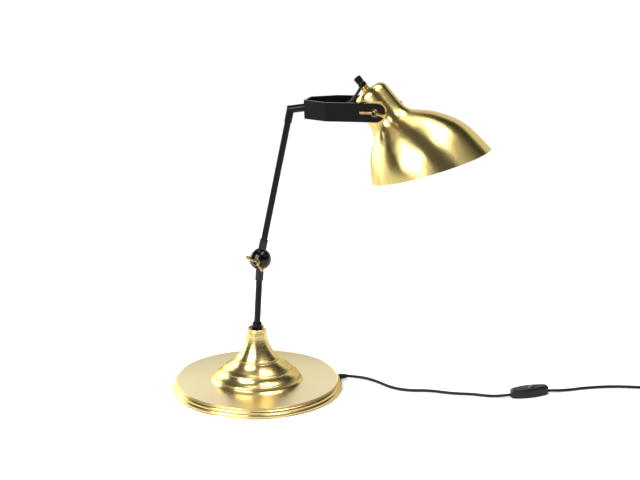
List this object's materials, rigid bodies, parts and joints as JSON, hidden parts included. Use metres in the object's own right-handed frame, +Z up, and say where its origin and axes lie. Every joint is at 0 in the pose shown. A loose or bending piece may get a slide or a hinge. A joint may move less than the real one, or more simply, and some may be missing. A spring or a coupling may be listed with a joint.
{
  "type": "swing arm desk lamp",
  "caption": "Desk lamp with a round weighted base, a jointed tubular arm, a fork-shaped yoke and a tilting bell shade over a screw-in bulb, with a switched supply cord.",
  "frame": {"origin": "centre of the base's underside, on the surface it stands on", "axes": "+Z up; +X from the base towards the shade, in the plane of the arm; +Y to the left of that"},
  "size_m": [0.82, 0.3112, 0.5086],
  "materials": {
    "brass": "spun and brushed, lacquered, worn bright on the raised edges",
    "wing_brass": "cast, dulled in the hollows",
    "cast_iron": "rough, painted",
    "bare_steel": "zinc-plated, slightly dull",
    "felt": "pressed felt",
    "black_rubber": "satin",
    "tie_fabric": "woven strap",
    "black_enamel": "semi-gloss black enamel with worn edges",
    "black_plastic": "fine-grained",
    "bakelite": "moulded, glossy",
    "porcelain": "glazed",
    "nickel": "plated, slightly brushed",
    "bulb_glass": "opal"
  },
  "bodies": {
    "base": {"base_shell": "brass", "base_weight": "cast_iron", "base_cover": "bare_steel", "base_felt": "felt", "cover_screws": "bare_steel", "base_neck": "brass", "neck_cup": "brass", "neck_bush": "brass", "tie_rod": "bare_steel", "tie_nuts": "bare_steel", "cord_grommet": "black_rubber", "base_lead": "black_rubber", "lead_clamp": "bare_steel", "cord_to_switch": "black_rubber", "cord_to_coil": "black_rubber", "cord_to_plug": "black_rubber", "cord_coil": "black_rubber", "coil_tie": "tie_fabric", "inline_base": "black_plastic", "inline_cover": "black_plastic", "inline_screws": "bare_steel", "plug_relief": "black_rubber", "plug_body": "black_plastic", "plug_pins": "nickel"},
    "stem": {"stem_collar": "black_enamel", "stem_tube": "black_enamel", "knuckle_fork": "black_enamel", "knuckle_bolt": "wing_brass", "knuckle_washer": "bare_steel"},
    "knuckle_nut": {"knuckle_wing_nut": "wing_brass"},
    "arm": {"knuckle_tongue": "black_enamel", "arm_tube": "black_enamel", "elbow": "black_enamel", "yoke_collar": "black_enamel", "yoke_nipple": "bare_steel", "yoke_washers": "black_plastic", "yoke_nut": "bare_steel", "nipple_bushing": "black_plastic"},
    "yoke": {"yoke": "black_enamel", "ear_washers": "bare_steel"},
    "head": {"shade": "brass", "pivot_bosses": "brass", "pivot_studs": "wing_brass", "lampholder_cap": "bakelite", "lampholder_skirt": "bakelite", "lampholder_ring": "bakelite", "lampholder_insulator": "porcelain", "contact_tongue": "bare_steel", "bulb_cap": "nickel", "bulb_glass": "bulb_glass", "switch_collar": "brass", "switch_body": "bakelite", "head_lead": "black_rubber"},
    "near_nut": {"near_wing_nut": "wing_brass"},
    "far_nut": {"far_wing_nut": "wing_brass"},
    "knob": {"switch_knob": "bakelite"},
    "rocker": {"inline_rocker": "black_plastic"}
  },
  "joints": [
    {"name": "stem_swivel", "type": "hinge", "parent": "base", "child": "stem", "pos_m": [0, 0, 0.099], "axis": [0.061, 0, 0.9981], "range_deg": [-160, 160]},
    {"name": "knuckle_tilt", "type": "hinge", "parent": "stem", "child": "arm", "pos_m": [0.00699, 0, 0.21329], "axis": [0, 1, 0], "range_deg": [-60, 50]},
    {"name": "knuckle_nut_turn", "type": "hinge", "parent": "stem", "child": "knuckle_nut", "pos_m": [0.00699, -0.02, 0.21329], "axis": [0, -1, 0], "range_deg": [0, 360]},
    {"name": "yoke_roll", "type": "hinge", "parent": "arm", "child": "yoke", "pos_m": [0.1985, 0, 0.4602], "axis": [0.9994, 0, 0.0349], "range_deg": [-100, 100]},
    {"name": "shade_tilt", "type": "hinge", "parent": "yoke", "child": "head", "pos_m": [0.1985, 0, 0.4602], "axis": [0, 1, 0], "range_deg": [-70, 45], "deforming": ["head_lead"]},
    {"name": "near_nut_turn", "type": "hinge", "parent": "head", "child": "near_nut", "pos_m": [0.1985, -0.04, 0.4602], "axis": [0, -1, 0], "range_deg": [0, 360]},
    {"name": "far_nut_turn", "type": "hinge", "parent": "head", "child": "far_nut", "pos_m": [0.1985, 0.04, 0.4602], "axis": [0, 1, 0], "range_deg": [0, 360]},
    {"name": "switch_turn", "type": "hinge", "parent": "head", "child": "knob", "pos_m": [0.16379, 0, 0.50157], "axis": [-0.6428, 0, 0.766], "continuous": true},
    {"name": "rocker_tip", "type": "hinge", "parent": "base", "child": "rocker", "pos_m": [0.42399, 0.09018, 0.0108], "axis": [-0.5592, 0.829, 0], "range_deg": [0, 12]}
  ]
}
